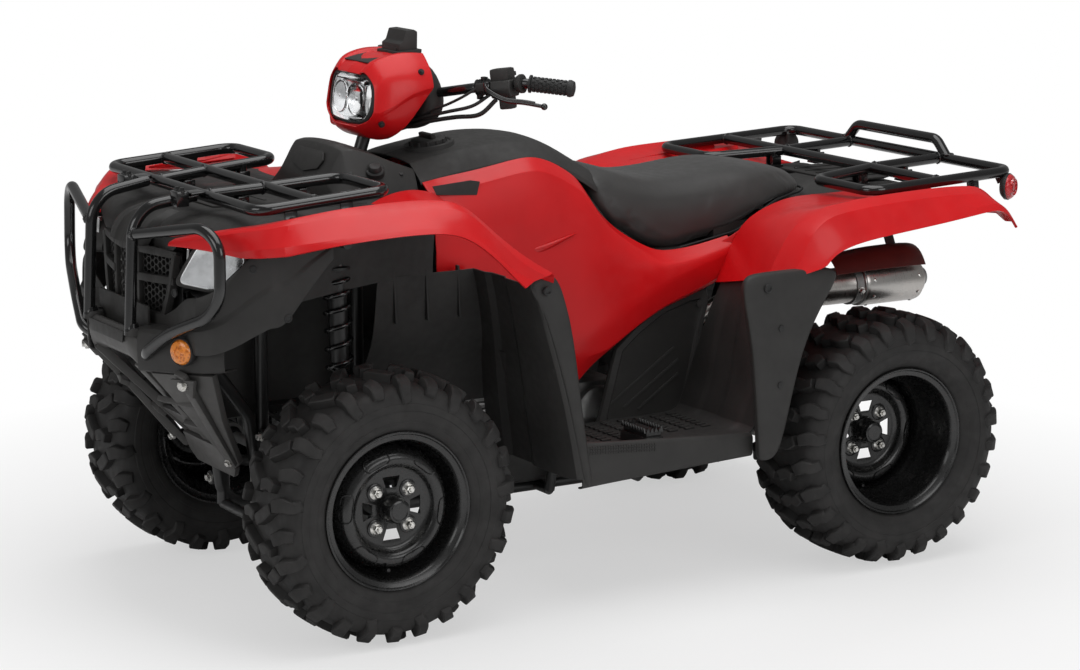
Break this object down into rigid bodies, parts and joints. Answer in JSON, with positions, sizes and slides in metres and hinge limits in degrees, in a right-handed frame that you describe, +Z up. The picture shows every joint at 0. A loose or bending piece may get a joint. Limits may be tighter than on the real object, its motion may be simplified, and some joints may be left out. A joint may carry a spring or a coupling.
{
  "type": "utility quad bike",
  "caption": "Straddle-seat utility quad bike with steel racks, front guard, plastic body panels, lugged tyres, coupled steering and freely rolling wheels.",
  "frame": {"origin": "on the ground below the middle of the overall length and width", "axes": "forward is -Y, the rider's left is +X, up is +Z"},
  "size_m": [1.1614, 2.1778, 1.258],
  "materials": {
    "black_steel": "semi-gloss black paint",
    "rim_black": "gloss black paint",
    "cast_metal": "cast",
    "muffler_steel": "brushed",
    "black_plastic": "moulded grain",
    "red_plastic": "gloss",
    "seat_vinyl": "grained vinyl",
    "grip_rubber": "matt",
    "tyre": "matt",
    "clear_lens": "clear",
    "amber_lens": "clear gloss",
    "red_lens": "clear gloss"
  },
  "bodies": {
    "chassis": {"frame": "black_steel", "engine": "cast_metal", "exhaust": "muffler_steel", "front_drive": "cast_metal", "front_arms": "black_steel", "front_shocks": "black_steel", "front_guard": "black_steel", "skid_plate": "black_plastic", "grille": "black_plastic", "front_side_covers": "black_plastic", "reflectors": "amber_lens", "headlamps": "clear_lens", "front_fenders": "red_plastic", "front_top_cover": "black_plastic", "console": "black_plastic", "front_rack": "black_steel", "tank_cover": "black_plastic", "side_panels": "red_plastic", "seat": "seat_vinyl", "rear_fenders": "red_plastic", "rear_top_cover": "black_plastic", "rear_rack": "black_steel", "tail_lamps": "red_lens", "footwells": "black_plastic", "engine_covers": "black_plastic", "swingarm": "black_steel", "rear_shock": "black_steel"},
    "steering": {"steering_stem": "black_steel", "handlebar": "black_steel", "grips": "grip_rubber", "controls": "black_plastic", "nacelle": "red_plastic", "nacelle_lamp": "clear_lens", "display": "black_plastic"},
    "knuckle_left": {"knuckle_left": "cast_metal"},
    "knuckle_right": {"knuckle_right": "cast_metal"},
    "wheel_front_left": {"rim_front_left": "rim_black", "tyre_front_left": "tyre"},
    "wheel_front_right": {"rim_front_right": "rim_black", "tyre_front_right": "tyre"},
    "rear_wheels": {"rear_axle": "cast_metal", "rear_rims": "rim_black", "rear_tyres": "tyre"},
    "tie_rod_left": {"tie_rod_left": "black_steel"},
    "tie_rod_right": {"tie_rod_right": "black_steel"}
  },
  "joints": [
    {"name": "steer", "type": "hinge", "parent": "chassis", "child": "steering", "pos_m": [0, -0.46, 1], "axis": [0, 0.3256, 0.9455], "range_deg": [-36, 36]},
    {"name": "kingpin_left", "type": "hinge", "parent": "chassis", "child": "knuckle_left", "pos_m": [0.385, -0.65, 0.296], "axis": [0, 0, 1], "range_deg": [-30.1, 30.1]},
    {"name": "kingpin_right", "type": "hinge", "parent": "chassis", "child": "knuckle_right", "pos_m": [-0.385, -0.65, 0.296], "axis": [0, 0, 1], "range_deg": [-30.1, 30.1]},
    {"name": "wheel_front_left_spin", "type": "hinge", "parent": "knuckle_left", "child": "wheel_front_left", "pos_m": [0.431, -0.65, 0.296], "axis": [1, 0, 0], "continuous": true},
    {"name": "wheel_front_right_spin", "type": "hinge", "parent": "knuckle_right", "child": "wheel_front_right", "pos_m": [-0.431, -0.65, 0.296], "axis": [1, 0, 0], "continuous": true},
    {"name": "rear_axle_spin", "type": "hinge", "parent": "chassis", "child": "rear_wheels", "pos_m": [0, 0.65, 0.296], "axis": [1, 0, 0], "continuous": true},
    {"name": "tie_rod_left_pin", "type": "hinge", "parent": "knuckle_left", "child": "tie_rod_left", "pos_m": [0.365, -0.55, 0.341], "axis": [0, 0, 1], "range_deg": [-34.5, 34.5]},
    {"name": "tie_rod_right_pin", "type": "hinge", "parent": "knuckle_right", "child": "tie_rod_right", "pos_m": [-0.365, -0.55, 0.341], "axis": [0, 0, 1], "range_deg": [-34.5, 34.5]}
  ],
  "couplings": [
    {"joint": "kingpin_left", "follows": "steer", "ratio": 0.83333},
    {"joint": "kingpin_right", "follows": "steer", "ratio": 0.83333},
    {"joint": "tie_rod_left_pin", "follows": "steer", "ratio": -0.93},
    {"joint": "tie_rod_right_pin", "follows": "steer", "ratio": -0.93}
  ]
}
